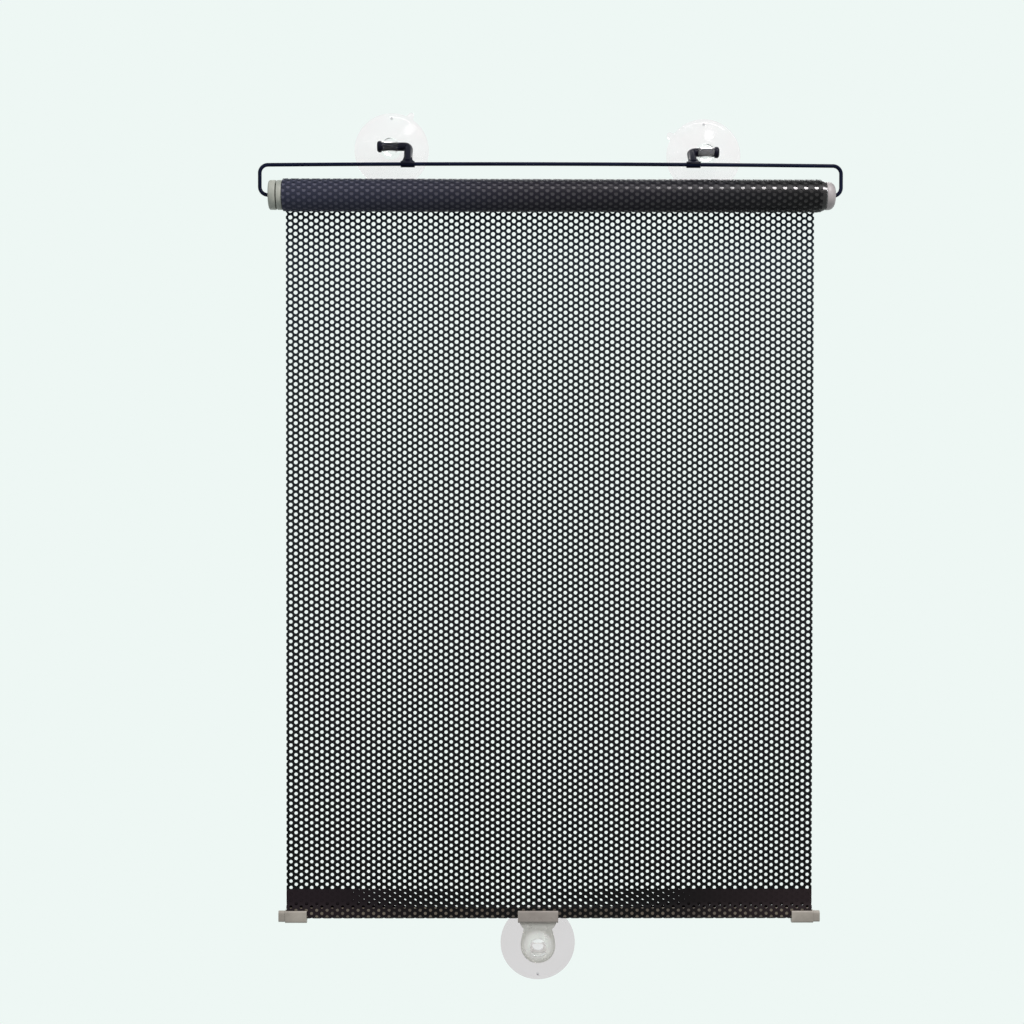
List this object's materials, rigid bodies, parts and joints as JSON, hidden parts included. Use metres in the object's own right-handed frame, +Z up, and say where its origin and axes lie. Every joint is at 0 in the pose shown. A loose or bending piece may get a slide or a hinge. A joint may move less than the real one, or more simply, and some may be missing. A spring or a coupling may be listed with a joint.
{
  "type": "car window sunshade",
  "caption": "Spring-roller sunshade for a car side window: perforated film, wire bail, hooks and suction cups, pull tab.",
  "frame": {"origin": "the point on the window glass behind the middle of the shade, at the mean height of the two upper suction cups", "axes": "+Z up along the film, +X along the roller to the right seen from inside the car, +Y towards the glass"},
  "size_m": [0.5, 0.055, 0.7585],
  "materials": {
    "film": "thin black perforated film, a little glossy",
    "wire": "dark coated steel wire",
    "cap": "moulded grey plastic",
    "clip": "moulded warm grey plastic",
    "bar": "dark brown plastic strip",
    "tab": "translucent grey-olive flexible plastic",
    "cup": "clear soft plastic",
    "hook": "moulded black plastic",
    "steel": "drawn spring wire",
    "tube": "rolled tube"
  },
  "bodies": {
    "bail": {"wire_bail": "wire", "spring_cap": "cap", "spring_spindle": "cap", "torsion_spring": "steel"},
    "roller": {"roller_tube": "tube", "film_roll": "film", "tube_plug_left": "cap", "tube_plug_right": "cap", "spring_anchor": "cap"},
    "hem": {"film_sheet": "film", "film_hem": "film", "hem_bar": "bar", "end_clip_left": "clip", "end_clip_right": "clip", "pull_tab": "tab"},
    "lower_cup": {"cup_bottom": "cup"},
    "left_hook": {"hook_left": "hook"},
    "left_cup": {"cup_left": "cup"},
    "right_hook": {"hook_right": "hook"},
    "right_cup": {"cup_right": "cup"}
  },
  "joints": [
    {"name": "hem_draw", "type": "slide", "parent": "bail", "child": "hem", "axis": [0, 0, 1], "range_m": [-0.605, 0.57], "deforming": ["film_sheet"]},
    {"name": "roller_spin", "type": "hinge", "parent": "bail", "child": "roller", "pos_m": [0, -0.03967, -0.04295], "axis": [1, 0, 0], "range_deg": [-2700, 2700]},
    {"name": "lower_cup_turn", "type": "hinge", "parent": "hem", "child": "lower_cup", "pos_m": [-0.0098, -0.02537, -0.69095], "axis": [0, 1, 0], "continuous": true},
    {"name": "left_hook_swing", "type": "hinge", "parent": "bail", "child": "left_hook", "pos_m": [-0.1223, -0.03967, -0.01646], "axis": [1, 0, 0], "range_deg": [-20, 75]},
    {"name": "left_cup_tilt", "type": "hinge", "parent": "left_hook", "child": "left_cup", "pos_m": [-0.1382, -0.02128, 0.00192], "axis": [1, 0, 0], "range_deg": [-15, 30]},
    {"name": "right_hook_swing", "type": "hinge", "parent": "bail", "child": "right_hook", "pos_m": [0.1222, -0.03967, -0.01646], "axis": [1, 0, 0], "range_deg": [-9, 86]},
    {"name": "right_cup_tilt", "type": "hinge", "parent": "right_hook", "child": "right_cup", "pos_m": [0.1352, -0.01811, -0.00192], "axis": [1, 0, 0], "range_deg": [-15, 30]}
  ],
  "couplings": [
    {"joint": "roller_spin", "follows": "hem_draw", "rad_per_m": 72.99}
  ]
}
